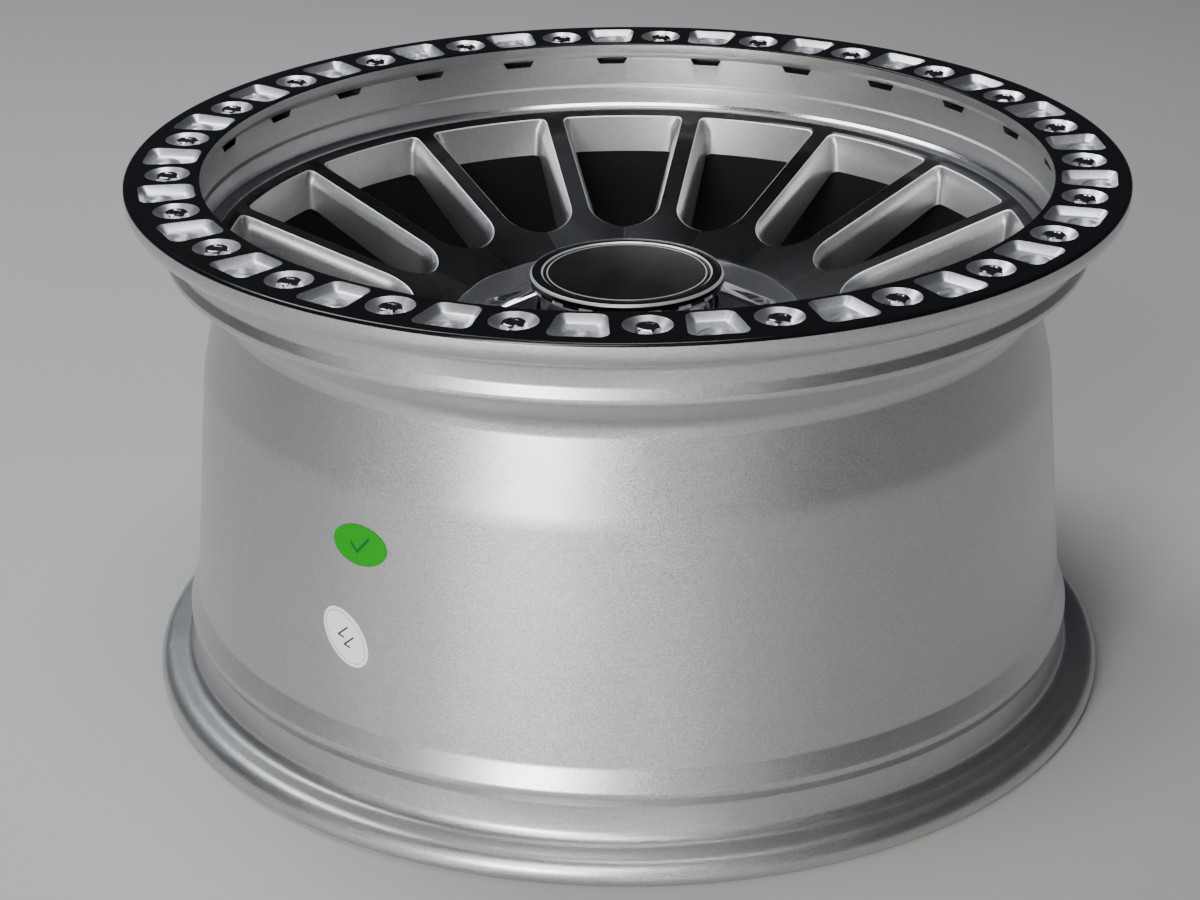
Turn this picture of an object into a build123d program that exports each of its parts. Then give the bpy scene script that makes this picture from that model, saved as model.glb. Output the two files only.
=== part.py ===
from build123d import *
import math
import os

# The wheel lies on its back flange. Z runs up its axis, and the clamp ring's face is on top.
# Lengths are in millimetres and angles in degrees.

# Rim: 17 by 9 inch, standard flanges and bead seats
rim_width = 228.6
flange_width = 12.7
flange_height = 17.3
flange_lip_bevel = 4.6
flange_back_bevel = 2.6
flange_root_bevel = 3.6
bead_seat_radius = 218.3
bead_seat_taper = 5.0
back_seat_length = 17.5
front_seat_length = 14.3
hump_rise = 1.8
hump_ramp = 4.4
hump_land = 3.0

# Barrel, outside
hump_back_ramp = 9.9
barrel_back_depth = 4.0
barrel_knee_depth = 13.8
barrel_knee_drop = 95.0
well_depth = 22.3
well_low_drop = 58.5
well_high_drop = 51.5
well_bevel = 2.5

# Barrel, inside
barrel_wall = 6.9
back_opening_wall = 5.3
back_opening_height = 16.0
window_root_wall = 6.5

# Front lip of the casting
joint_drop = 9.0
shoulder_rise = 2.7
shoulder_length = 5.5
shoulder_slope = 3.7
lip_wall = 17.0
lip_foot_drop = 24.5
lip_foot_run = 2.2
trim_ring_width = 5.7
trim_ring_drop = 34.8
trim_ring_step = 0.9

# Spoke face
spoke_count = 16
face_slope = 20.1
spoke_width = 9.4
spoke_flank_angle = 30.0
spoke_flank_depth = 4.5
spoke_draft = 5.0
spoke_back_slope = 24.5
spoke_rim_depth = 17.8
window_outer_border = 5.6
window_outer_draft = 8.0
window_inner_border = 20.0
window_corner_rounding = 4.0
window_clearance = 4.0
window_cut_depth = 60.0

# Hub
hub_recess_margin = 13.65
hub_recess_draft = 2.0
hub_floor_thickness = 25.0
wheel_offset = 0.0
pad_margin = 12.15
hub_back_run = 13.0
bore_radius = 53.05
bore_chamfer = 1.5
lug_count = 6
lug_circle_radius = 69.85
lug_hole_radius = 8.0
lug_seat_radius = 12.0
lug_seat_angle = 30.0

# Valve hole
valve_radius = 5.65
valve_drop = 56.0
valve_angle = 0.0

# Clamp ring
ring_bore_step = 3.7
ring_bore_land = 5.2
ring_edge_bevel = 1.0
ring_bore_bevel = 0.5
ring_clearance = 0.3
bolt_count = 25
bolt_circle_inset = 11.3
first_bolt_angle = 12.36
dish_radius = 10.3
dish_floor_radius = 6.7
dish_depth = 4.2
pocket_inner_border = 3.2
pocket_outer_border = 7.1
pocket_inner_width = 19.6
pocket_outer_width = 26.0
pocket_depth = 3.4
pocket_draft = 43.0
recess_inset = 8.0
recess_radius = 7.5
recess_depth = 3.0

# Drain slots under the ring's pockets
slot_width = 17.0
slot_height = 3.2
slot_length = 8.0
slot_end_angle = 30.0

# Ring bolts
bolt_shank_radius = 3.0
bolt_head_flats = 10.0
bolt_head_height = 4.0
bolt_length = 9.3
bolt_hole_clearance = 0.3
thread_clearance = 0.15
thread_extra_depth = 0.6

# Centre cap
cap_top_drop = 57.2
disc_radius = 40.2
disc_thickness = 2.0
bezel_width = 6.4
bezel_height = 7.0
bezel_rise = 0.6
bezel_bevel = 2.2
cap_clearance = 0.3
cap_wall = 3.0
cap_skirt_flare = 6.5
cap_skirt_height = 20.0
arm_count = 6
arm_first_angle = 0.0
arm_width = 18.0
arm_end_margin = 11.5
arm_drop = 13.5
arm_thickness = 7.0
arm_bevel = 1.5
arm_end_rounding = 5.0
post_circle_radius = 64.0
post_radius = 8.0
screw_recess_radius = 5.5
screw_recess_depth = 5.0

# Cap screws
screw_head_radius = 5.0
screw_head_height = 4.5
screw_socket_flats = 4.0
screw_socket_depth = 2.5
screw_shank_radius = 3.0
screw_grip = 10.0

# Round and oval stickers on the barrel
sticker_thickness = 0.3
sticker_clearance = 0.1
oval_sticker_width = 29.2
oval_sticker_height = 18.6
oval_sticker_angle = 235.2
oval_sticker_level = 134.5
round_sticker_width = 26.0
round_sticker_height = 26.0
round_sticker_angle = 233.1
round_sticker_level = 88.8

# Sizes that follow from the values above
overall_width = rim_width + 2 * flange_width
flange_radius = bead_seat_radius + flange_height
back_hump_foot = flange_width + back_seat_length
barrel_back_height = back_hump_foot + hump_ramp + hump_land + hump_back_ramp
barrel_back_radius = bead_seat_radius - barrel_back_depth
barrel_knee_height = overall_width - barrel_knee_drop
barrel_knee_radius = bead_seat_radius - barrel_knee_depth
well_radius = bead_seat_radius - well_depth
back_opening_radius = bead_seat_radius - back_opening_wall
window_root_radius = well_radius - window_root_wall
shoulder_radius = bead_seat_radius + shoulder_rise
lip_radius = shoulder_radius - lip_wall
trim_ring_radius = lip_radius - lip_foot_run
joint_height = overall_width - joint_drop
pad_height = overall_width / 2 - wheel_offset
pad_radius = lug_circle_radius + pad_margin
hub_back_radius = pad_radius + hub_back_run
hub_recess_radius = lug_circle_radius + hub_recess_margin
hub_floor_height = pad_height + hub_floor_thickness
spoke_pitch = 360 / spoke_count
bolt_pitch = 360 / bolt_count
first_pocket_angle = first_bolt_angle + bolt_pitch / 2
trim_ring_height = overall_width - trim_ring_drop
face_rim_radius = trim_ring_radius - trim_ring_width
face_rim_height = trim_ring_height - trim_ring_step
window_outer_radius = face_rim_radius - window_outer_border
window_inner_radius = hub_recess_radius + window_inner_border
ring_bore_radius = lip_radius - ring_bore_step
bolt_circle_radius = lip_radius + bolt_circle_inset
pocket_inner_radius = ring_bore_radius + pocket_inner_border
pocket_outer_radius = flange_radius - pocket_outer_border
recess_circle_radius = pocket_outer_radius - recess_inset
dish_floor_height = overall_width - dish_depth
disc_top_height = overall_width - cap_top_drop
disc_seat_height = disc_top_height - disc_thickness
bezel_seat_height = disc_top_height + bezel_rise - bezel_height
bezel_bore_radius = disc_radius + cap_clearance
bezel_radius = bezel_bore_radius + bezel_width
dome_radius = bezel_bore_radius + cap_wall
arm_reach = post_circle_radius + arm_end_margin
arm_end_height = bezel_seat_height - arm_drop


def slope(angle):
    return math.tan(math.radians(angle))


def seat_radius(distance):
    """Radius of a bead seat at a distance from its flange."""
    return bead_seat_radius - slope(bead_seat_taper) * distance


def face_height(radius):
    """Height of the spoke face's cone at a radius."""
    return face_rim_height - slope(face_slope) * (face_rim_radius - radius)


def barrel_radius(height):
    """Outer radius of the barrel's long back cone at a height."""
    share = (height - barrel_back_height) / (barrel_knee_height - barrel_back_height)
    return barrel_back_radius + share * (barrel_knee_radius - barrel_back_radius)


def turned(corners):
    """Solid of revolution from corners given as radius, height and bevel."""
    outline = make_face(Polyline(*[(radius, height) for radius, height, bevel in corners], close=True))
    for radius, height, bevel in corners:
        if bevel:
            corner = outline.vertices().sort_by_distance((radius, height))[0]
            outline = chamfer(corner, bevel)
    return revolve(Plane.XZ * outline, Axis.Z)


def around(shape, count, first_angle=0.0):
    """Copies of a shape, evenly spaced about the wheel's axis."""
    return [Rot(0, 0, first_angle + 360 / count * index) * shape for index in range(count)]


def upright(radius, length, top_height, circle_radius):
    """Vertical cylinder that hangs down from its top, at a distance along X."""
    return Pos(circle_radius, 0, top_height - length / 2) * Cylinder(radius, length)


def back_half_outside():
    hump_radius = seat_radius(back_seat_length) + hump_rise
    hump_start = back_hump_foot + hump_ramp
    return [
        (flange_radius, 0, flange_back_bevel),
        (flange_radius, flange_width, flange_lip_bevel),
        (bead_seat_radius, flange_width, flange_root_bevel),
        (seat_radius(back_seat_length), back_hump_foot, 0),
        (hump_radius, hump_start, 0),
        (hump_radius, hump_start + hump_land, 0),
        (barrel_back_radius, barrel_back_height, 0),
        (barrel_knee_radius, barrel_knee_height, 0),
    ]


def front_half_outside():
    flange_face = overall_width - flange_width
    hump_foot = flange_face - front_seat_length
    hump_radius = seat_radius(front_seat_length) + hump_rise
    hump_start = hump_foot - hump_ramp
    shoulder_foot = joint_height - shoulder_length
    seat_start = shoulder_foot - shoulder_slope
    return [
        (well_radius, overall_width - well_low_drop, 0),
        (well_radius, overall_width - well_high_drop, well_bevel),
        (hump_radius, hump_start - hump_land, 0),
        (hump_radius, hump_start, 0),
        (seat_radius(front_seat_length), hump_foot, 0),
        (seat_radius(flange_face - seat_start), seat_start, 0),
        (shoulder_radius, shoulder_foot, 0),
        (shoulder_radius, joint_height, 0),
    ]


def face_side():
    recess_foot_radius = hub_recess_radius - hub_recess_draft
    return [
        (lip_radius, joint_height, 0),
        (lip_radius, overall_width - lip_foot_drop, 0),
        (trim_ring_radius, trim_ring_height, 0),
        (face_rim_radius, trim_ring_height, 0),
        (face_rim_radius, face_rim_height, 0),
        (hub_recess_radius, face_height(hub_recess_radius), 0),
        (recess_foot_radius, hub_floor_height, 0),
        (bore_radius, hub_floor_height, 0),
    ]


def back_side():
    window_root_height = face_height(window_root_radius) - spoke_rim_depth
    hub_back_drop = slope(spoke_back_slope) * (window_root_radius - hub_back_radius)
    return [
        (bore_radius, pad_height + bore_chamfer, 0),
        (bore_radius + bore_chamfer, pad_height, 0),
        (pad_radius, pad_height, 0),
        (hub_back_radius, window_root_height - hub_back_drop, 0),
        (window_root_radius, window_root_height, 0),
        (barrel_knee_radius - barrel_wall, barrel_knee_height, 0),
        (barrel_back_radius - barrel_wall, barrel_back_height, 0),
        (back_opening_radius, back_opening_height, 0),
        (back_opening_radius, 0, 0),
    ]


def window_outline(drop, gap, inner_radius):
    """Window outline on the face's slope, lowered by a drop, between spokes a gap wide.

    The sides run beside the spokes' middle lines and the inner end is fully round.
    """
    tilt = math.cos(math.radians(face_slope))
    half_pitch = math.radians(spoke_pitch / 2)
    outer_radius = window_outer_radius - slope(window_outer_draft) * drop
    outer_angle = half_pitch - math.asin(gap / 2 / outer_radius)
    side_angle = math.atan(tilt * math.tan(half_pitch))
    apex = gap / 2 / math.sin(half_pitch) / tilt
    inner_end = inner_radius / tilt
    end_radius = (inner_end - apex) / (1 / math.sin(side_angle) - 1)
    tangent_x = inner_end + end_radius * (1 - math.sin(side_angle))
    tangent_y = end_radius * math.cos(side_angle)
    corner_x = outer_radius * math.cos(outer_angle) / tilt
    corner_y = outer_radius * math.sin(outer_angle)
    left_side = Line((tangent_x, tangent_y), (corner_x, corner_y))
    outer_arc = ThreePointArc(left_side @ 1, (outer_radius / tilt, 0), (corner_x, -corner_y))
    right_side = Line(outer_arc @ 1, (tangent_x, -tangent_y))
    inner_arc = ThreePointArc(right_side @ 1, (inner_end, 0), left_side @ 0)
    outline = make_face(left_side + outer_arc + right_side + inner_arc)
    outline = fillet(outline.vertices().sort_by(Axis.X)[-2:], window_corner_rounding)
    slope_plane = Plane(
        origin=(0, 0, face_height(0) - drop),
        x_dir=(tilt, 0, tilt * slope(face_slope)),
        z_dir=(-tilt * slope(face_slope), 0, tilt),
    )
    return slope_plane * outline


def spoke_window():
    """Cutter for one window, with sloping flanks at the face and a slight draft below them."""
    flank = slope(spoke_flank_angle)
    draft = slope(spoke_draft)
    above = window_clearance * flank
    flank_run = spoke_flank_depth * flank
    total_run = flank_run + draft * (window_cut_depth - spoke_flank_depth)
    sections = [
        window_outline(-window_clearance, spoke_width - 2 * above, window_inner_radius - above),
        window_outline(spoke_flank_depth, spoke_width + 2 * flank_run, window_inner_radius + flank_run),
        window_outline(window_cut_depth, spoke_width + 2 * total_run, window_inner_radius + total_run),
    ]
    return loft(sections, ruled=True)


def lug_hole():
    hole = upright(lug_hole_radius, hub_floor_thickness, hub_floor_height, lug_circle_radius)
    seat_depth = (lug_seat_radius - lug_hole_radius) / slope(lug_seat_angle)
    seat_middle = hub_floor_height - seat_depth / 2
    seat = Pos(lug_circle_radius, 0, seat_middle) * Cone(lug_hole_radius, lug_seat_radius, seat_depth)
    return hole + seat


def drain_slot():
    """Cutter for a slot in the casting's top face, open to the inside of the lip."""
    narrowing = 2 * slot_height * slope(slot_end_angle)
    outline = make_face(Polyline(
        (-slot_width / 2, 0),
        (-(slot_width - narrowing) / 2, -slot_height),
        ((slot_width - narrowing) / 2, -slot_height),
        (slot_width / 2, 0),
        close=True,
    ))
    start = lip_radius - slot_length
    face = Plane(origin=(start, 0, joint_height), x_dir=(0, 1, 0), z_dir=(1, 0, 0)) * outline
    return extrude(face, 2 * slot_length)


def valve_hole():
    reach = well_radius + barrel_wall
    start = window_inner_radius
    middle = Pos((reach + start) / 2, 0, overall_width - valve_drop)
    hole = middle * Rot(0, 90, 0) * Cylinder(valve_radius, reach - start)
    return Rot(0, 0, valve_angle) * hole


def wheel_casting():
    corners = back_half_outside() + front_half_outside() + face_side() + back_side()
    ring_thread_depth = bolt_length - (joint_drop - dish_depth) + thread_extra_depth
    ring_thread = upright(
        bolt_shank_radius + thread_clearance, ring_thread_depth, joint_height, bolt_circle_radius
    )
    cap_thread = upright(
        screw_shank_radius + thread_clearance,
        screw_grip + thread_extra_depth,
        hub_floor_height,
        post_circle_radius,
    )
    lug_first_angle = arm_first_angle + 180 / arm_count
    cutters = around(spoke_window(), spoke_count)
    cutters += around(lug_hole(), lug_count, lug_first_angle)
    cutters += around(drain_slot(), bolt_count, first_pocket_angle)
    cutters += around(ring_thread, bolt_count, first_bolt_angle)
    cutters += around(cap_thread, arm_count, arm_first_angle)
    cutters += [valve_hole()]
    return turned(corners) - cutters


def pocket_outline(drop):
    inset = slope(pocket_draft) * drop
    side_angle = math.atan(
        (pocket_outer_width - pocket_inner_width) / 2 / (pocket_outer_radius - pocket_inner_radius)
    )
    inner_half = pocket_inner_width / 2 + inset * (math.tan(side_angle) - 1 / math.cos(side_angle))
    outer_half = pocket_outer_width / 2 - inset * (math.tan(side_angle) + 1 / math.cos(side_angle))
    inner = pocket_inner_radius + inset
    outer = pocket_outer_radius - inset
    outline = Polyline(
        (inner, inner_half), (inner, -inner_half), (outer, -outer_half), (outer, outer_half), close=True
    )
    return Pos(0, 0, overall_width - drop) * make_face(outline)


def ring_pocket():
    """Cutter for a sloping-sided pocket with a round recess in its floor."""
    pocket = loft([pocket_outline(0), pocket_outline(pocket_depth)], ruled=True)
    recess = upright(recess_radius, pocket_depth + recess_depth, overall_width, recess_circle_radius)
    return pocket + recess


def bolt_seat():
    dish = Pos(bolt_circle_radius, 0, overall_width - dish_depth / 2) * Cone(
        dish_floor_radius, dish_radius, dish_depth
    )
    hole = upright(
        bolt_shank_radius + bolt_hole_clearance, joint_drop, overall_width, bolt_circle_radius
    )
    return dish + hole


def beadlock_ring():
    """Ring that forms the front flange, seated on the casting's shoulder."""
    flange_face = overall_width - flange_width
    corners = [
        (flange_radius, overall_width, ring_edge_bevel),
        (ring_bore_radius, overall_width, ring_bore_bevel),
        (ring_bore_radius, overall_width - ring_bore_land, 0),
        (lip_radius, joint_height, 0),
        (shoulder_radius + ring_clearance, joint_height, 0),
        (shoulder_radius + ring_clearance, flange_face, 0),
        (flange_radius, flange_face, flange_lip_bevel),
    ]
    cutters = around(ring_pocket(), bolt_count, first_pocket_angle)
    cutters += around(bolt_seat(), bolt_count, first_bolt_angle)
    return turned(corners) - cutters


def ring_bolt():
    """Hex bolt with its head on the floor of the dish."""
    head = Pos(bolt_circle_radius, 0, dish_floor_height) * extrude(
        RegularPolygon(bolt_head_flats / 2, 6, major_radius=False), bolt_head_height
    )
    return head + upright(bolt_shank_radius, bolt_length, dish_floor_height, bolt_circle_radius)


def cap_arm():
    """One arm of the cap's base, with the post that stands on the hub's floor."""
    outline = FilletPolyline(
        (disc_radius, bezel_seat_height),
        (dome_radius, bezel_seat_height),
        (arm_reach, arm_end_height),
        (arm_reach, arm_end_height - arm_thickness),
        (disc_radius, bezel_seat_height - cap_skirt_height),
        radius=[0, 0, arm_end_rounding, arm_end_rounding / 2, 0],
        close=True,
    )
    arm = Plane.XZ * extrude(make_face(outline), arm_width / 2, both=True)
    top_edges = arm.edges().filter_by(GeomType.LINE).filter_by(lambda edge: edge.center().Z > arm_end_height)
    side_edges = [edge for edge in top_edges if abs(abs(edge.center().Y) - arm_width / 2) < arm_bevel]
    arm = chamfer(side_edges, arm_bevel)
    post_height = arm_end_height - hub_floor_height
    post = upright(post_radius, post_height, arm_end_height, post_circle_radius)
    recess = upright(
        screw_recess_radius, overall_width, overall_width + screw_seat_height(), post_circle_radius
    )
    hole = upright(screw_shank_radius + bolt_hole_clearance, overall_width, overall_width, post_circle_radius)
    return arm + post - recess - hole


def screw_seat_height():
    arm_slope = arm_drop / (arm_reach - dome_radius)
    return arm_end_height + arm_slope * (arm_reach - post_circle_radius) - screw_recess_depth


def cap_base():
    """Moulded cap base: a hollow dome on six arms."""
    skirt_foot = bezel_seat_height - cap_skirt_height
    skirt_radius = dome_radius + cap_skirt_flare
    dome = turned([
        (0, disc_seat_height, 0),
        (disc_radius, disc_seat_height, 0),
        (disc_radius, bezel_seat_height, 0),
        (dome_radius, bezel_seat_height, 0),
        (skirt_radius, skirt_foot, 0),
        (skirt_radius - cap_wall, skirt_foot, 0),
        (dome_radius - cap_wall, bezel_seat_height - cap_wall, 0),
        (0, bezel_seat_height - cap_wall, 0),
    ])
    return dome + around(cap_arm(), arm_count, arm_first_angle)


def cap_bezel():
    top = bezel_seat_height + bezel_height
    return turned([
        (bezel_bore_radius, bezel_seat_height, 0),
        (bezel_radius - bezel_bevel, bezel_seat_height, 0),
        (bezel_radius, bezel_seat_height + bezel_bevel, 0),
        (bezel_radius, top - bezel_bevel, 0),
        (bezel_radius - bezel_bevel, top, 0),
        (bezel_bore_radius + bezel_bevel, top, 0),
        (bezel_bore_radius, disc_top_height, 0),
    ])


def cap_disc():
    return upright(disc_radius, disc_thickness, disc_top_height, 0)


def cap_screw():
    """Socket-head screw that holds an arm of the cap down on the hub's floor."""
    seat = screw_seat_height()
    head = upright(screw_head_radius, screw_head_height, seat + screw_head_height, post_circle_radius)
    socket = Pos(post_circle_radius, 0, seat + screw_head_height - screw_socket_depth) * extrude(
        RegularPolygon(screw_socket_flats / 2, 6, major_radius=False), screw_socket_depth
    )
    shank_length = seat - hub_floor_height + screw_grip
    return head - socket + upright(screw_shank_radius, shank_length, seat, post_circle_radius)


def barrel_sticker(width, height, angle, level):
    """Thin sticker that follows the barrel's cone."""
    low = level - height
    high = level + height
    low_radius = barrel_radius(low) + sticker_clearance
    high_radius = barrel_radius(high) + sticker_clearance
    skin = turned([
        (low_radius, low, 0),
        (low_radius + sticker_thickness, low, 0),
        (high_radius + sticker_thickness, high, 0),
        (high_radius, high, 0),
    ])
    stamp = Plane(
        origin=(barrel_radius(level) - barrel_wall, 0, level), x_dir=(0, 1, 0), z_dir=(1, 0, 0)
    ) * extrude(Ellipse(width / 2, height / 2), 2 * barrel_wall)
    return Rot(0, 0, angle) * (skin & stamp)


def main():
    nodes = {
        "wheel_casting": wheel_casting(),
        "beadlock_ring": beadlock_ring(),
        "ring_bolts": Compound(children=around(ring_bolt(), bolt_count, first_bolt_angle)),
        "cap_base": cap_base(),
        "cap_bezel": cap_bezel(),
        "cap_disc": cap_disc(),
        "cap_screws": Compound(children=around(cap_screw(), arm_count, arm_first_angle)),
        "oval_sticker": barrel_sticker(
            oval_sticker_width, oval_sticker_height, oval_sticker_angle, oval_sticker_level
        ),
        "round_sticker": barrel_sticker(
            round_sticker_width, round_sticker_height, round_sticker_angle, round_sticker_level
        ),
    }
    os.makedirs("parts", exist_ok=True)
    for name, shape in nodes.items():
        export_step(shape, f"parts/{name}.step")


main()
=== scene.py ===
import math

import bmesh
import bpy
from mathutils import Matrix, Vector


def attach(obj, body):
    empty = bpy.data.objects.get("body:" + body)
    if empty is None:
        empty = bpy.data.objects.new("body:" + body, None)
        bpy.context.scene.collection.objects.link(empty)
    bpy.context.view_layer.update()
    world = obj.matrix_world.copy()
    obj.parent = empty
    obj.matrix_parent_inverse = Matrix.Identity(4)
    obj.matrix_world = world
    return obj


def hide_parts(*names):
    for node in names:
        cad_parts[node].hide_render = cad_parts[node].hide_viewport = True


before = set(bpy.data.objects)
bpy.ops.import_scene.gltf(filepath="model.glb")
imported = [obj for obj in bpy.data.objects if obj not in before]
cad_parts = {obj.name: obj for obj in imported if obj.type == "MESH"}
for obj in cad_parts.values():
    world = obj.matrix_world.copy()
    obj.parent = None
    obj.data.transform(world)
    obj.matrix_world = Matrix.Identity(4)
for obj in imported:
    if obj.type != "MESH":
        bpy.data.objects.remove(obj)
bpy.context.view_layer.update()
print("stage: frame loaded")

# Meshes are drawn in millimetres, in the frame's own place, and become metres in makePiece.
wheelSteps = 320         # flats round every turned surface
frontHeight = 254.0      # front face of the clamp ring
jointHeight = 245.0      # where the ring sits on the casting
lipRadius = 204.0
boltCount = 25
firstBolt = 12.36        # degrees from +X
betweenBolts = firstBolt + 360 / boltCount / 2


# Mesh helpers.

def slope(angle):
    return math.tan(math.radians(angle))


def tangentLength(corners, index):
    # How far along its edges a corner's rounding starts, and the angle it turns through.
    here = Vector(corners[index][:2])
    before = Vector(corners[index - 1][:2]) - here
    after = Vector(corners[(index + 1) % len(corners)][:2]) - here
    inside = before.angle(after)
    return corners[index][2] / math.tan(inside / 2), math.pi - inside


def turnedShell(corners, steps=wheelSteps, flat=math.radians(11)):
    # Closed outline of (radius, height, rounding) corners, spun about the axle.
    shell = bmesh.new()
    points = [shell.verts.new((radius, 0, height)) for radius, height, rounding in corners]
    for pair in zip(points, points[1:] + points[:1]):
        shell.edges.new(pair)
    for index, point in enumerate(points):
        if corners[index][2]:
            reach, turn = tangentLength(corners, index)
            bmesh.ops.bevel(shell, geom=[point], offset=reach, offset_type="OFFSET", affect="VERTICES",
                            segments=max(2, round(turn / flat)), profile=0.5, material=-1, clamp_overlap=False)
    bmesh.ops.spin(shell, geom=shell.verts[:] + shell.edges[:], cent=(0, 0, 0), axis=(0, 0, 1),
                   dvec=(0, 0, 0), angle=math.tau, steps=steps, use_merge=True)
    bmesh.ops.remove_doubles(shell, verts=shell.verts, dist=1e-4)
    bmesh.ops.recalc_face_normals(shell, faces=shell.faces)
    return shell


def sleeve(loops, paints=None):
    # Closed tube through outlines with the same number of points, capped at both ends.
    tube = bmesh.new()
    around, along = len(loops[0]), len(loops) - 1
    bmesh.ops.create_grid(tube, x_segments=around, y_segments=along, size=0.5)
    if paints:
        for face in tube.faces:
            face.material_index = paints[int((face.calc_center_median().y + 0.5) * along)]
    for vert in tube.verts:
        column = round((vert.co.x + 0.5) * around) % around
        vert.co = loops[round((vert.co.y + 0.5) * along)][column]
    bmesh.ops.remove_doubles(tube, verts=tube.verts, dist=1e-4)
    bmesh.ops.holes_fill(tube, edges=tube.edges, sides=0)
    if paints:
        for face in tube.faces:
            if len(face.verts) > 4:
                face.material_index = paints[-1]
    bmesh.ops.recalc_face_normals(tube, faces=tube.faces)
    return tube


def circleLoop(radius, height, centre=0.0, count=40):
    turns = [math.tau * index / count for index in range(count)]
    return [Vector((centre + radius * math.cos(turn), radius * math.sin(turn), height)) for turn in turns]


def roundedLoop(corners, height, perCorner=5):
    # Flat outline of (x, y, rounding) corners with the same number of points at every rounding.
    points = []
    for index, (x, y, rounding) in enumerate(corners):
        reach, turn = tangentLength(corners, index)
        here = Vector((x, y))
        before = (Vector(corners[index - 1][:2]) - here).normalized()
        after = (Vector(corners[(index + 1) % len(corners)][:2]) - here).normalized()
        start, end = here + before * reach, here + after * reach
        centre = here + (before + after).normalized() * math.hypot(reach, rounding)
        for step in range(perCorner + 1):
            point = here
            if rounding:
                point = centre + (start - centre).slerp(end - centre, step / perCorner) * rounding
            points.append(Vector((point.x, point.y, height)))
    return points


def placed(shell, *moves):
    for move in moves:
        bmesh.ops.transform(shell, matrix=move, verts=shell.verts)
    return shell


def ringOf(shell, count, firstAngle=0.0):
    # The shell and its copies, evenly spaced about the axle.
    whole = bmesh.new()
    scratch = bpy.data.meshes.new("scratch")
    shell.to_mesh(scratch)
    for index in range(count):
        start = len(whole.verts)
        whole.from_mesh(scratch)
        whole.verts.ensure_lookup_table()
        turn = Matrix.Rotation(math.radians(firstAngle + 360 / count * index), 4, "Z")
        bmesh.ops.transform(whole, matrix=turn, verts=whole.verts[start:])
    bpy.data.meshes.remove(scratch)
    return whole


def objectOf(shell, name, paints=1):
    mesh = bpy.data.meshes.new(name)
    shell.to_mesh(mesh)
    for index in range(paints):
        mesh.materials.append(None)
    item = bpy.data.objects.new(name, mesh)
    bpy.context.scene.collection.objects.link(item)
    return item


def cutAway(shell, cutter, operation="DIFFERENCE", paints=6):
    # Boolean of two shells. New faces take the cutter's paint number.
    target, tool = objectOf(shell, "target", paints), objectOf(cutter, "tool", paints)
    cut = target.modifiers.new("cut", "BOOLEAN")
    cut.operation, cut.solver, cut.object, cut.material_mode = operation, "EXACT", tool, "INDEX"
    result = bmesh.new()
    result.from_object(target, bpy.context.evaluated_depsgraph_get())
    for item in (target, tool):
        mesh = item.data
        bpy.data.objects.remove(item)
        bpy.data.meshes.remove(mesh)
    bmesh.ops.remove_doubles(result, verts=result.verts, dist=1e-3)
    bmesh.ops.dissolve_degenerate(result, edges=result.edges, dist=1e-3)
    return result


def joined(*shells):
    whole = bmesh.new()
    for shell in shells:
        scratch = bpy.data.meshes.new("scratch")
        shell.to_mesh(scratch)
        whole.from_mesh(scratch)
        bpy.data.meshes.remove(scratch)
    return whole


def makePiece(name, shell, paints, stands=(), crease=28):
    # Millimetres to metres, smooth faces with sharp edges past the crease angle, and the frame's marks.
    bmesh.ops.scale(shell, vec=(0.001, 0.001, 0.001), verts=shell.verts)
    for face in shell.faces:
        face.smooth = True
    for edge in shell.edges:
        edge.smooth = len(edge.link_faces) == 2 and edge.calc_face_angle(0) < math.radians(crease)
    mesh = bpy.data.meshes.new(name)
    shell.to_mesh(mesh)
    for paint in paints:
        mesh.materials.append(paint)
    piece = bpy.data.objects.new(name, mesh)
    bpy.context.scene.collection.objects.link(piece)
    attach(piece, "root")
    if stands:
        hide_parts(*stands)
    print("piece:", name, len(mesh.polygons), "faces")
    return piece


# Material helpers.

def newMaterial(name, **settings):
    # A Principled material with its constants set on the shader's own sockets.
    material = bpy.data.materials.new(name)
    material.use_nodes = True
    nodes = material.node_tree.nodes
    shader = nodes["Principled BSDF"]
    for socket, value in settings.items():
        shader.inputs[socket.replace("_", " ")].default_value = value
    return material, material.node_tree, shader


def addNode(tree, kind, inputs=(), **settings):
    node = tree.nodes.new(kind)
    for key, value in settings.items():
        setattr(node, key, value)
    for socket, value in dict(inputs).items():
        if isinstance(value, bpy.types.NodeSocket):
            tree.links.new(value, node.inputs[socket])
        else:
            node.inputs[socket].default_value = value
    return node


def addMath(tree, operation, first, second=0.0, third=0.0):
    return addNode(tree, "ShaderNodeMath", {0: first, 1: second, 2: third}, operation=operation).outputs[0]


def addRange(tree, value, low, high, toLow, toHigh):
    node = addNode(tree, "ShaderNodeMapRange", {0: value, 1: low, 2: high, 3: toLow, 4: toHigh})
    return node.outputs[0]


def addBlend(tree, share, first, second):
    node = addNode(tree, "ShaderNodeMix", {0: share, 6: first, 7: second}, data_type="RGBA")
    return node.outputs[2]


def newGroup(name, inputs, outputs):
    tree = bpy.data.node_groups.new(name, "ShaderNodeTree")
    for socket, value in inputs.items():
        made = tree.interface.new_socket(socket, in_out="INPUT", socket_type="NodeSocketFloat")
        made.default_value = value
    for socket, kind in outputs.items():
        tree.interface.new_socket(socket, in_out="OUTPUT", socket_type=kind)
    return tree, tree.nodes.new("NodeGroupInput").outputs, tree.nodes.new("NodeGroupOutput").inputs


def placeGroup(tree, group, **values):
    node = tree.nodes.new("ShaderNodeGroup")
    node.node_tree = group
    for socket, value in values.items():
        node.inputs[socket].default_value = value
    return node.outputs


def objectPoint(tree):
    return tree.nodes.new("ShaderNodeTexCoord").outputs["Object"]


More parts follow.
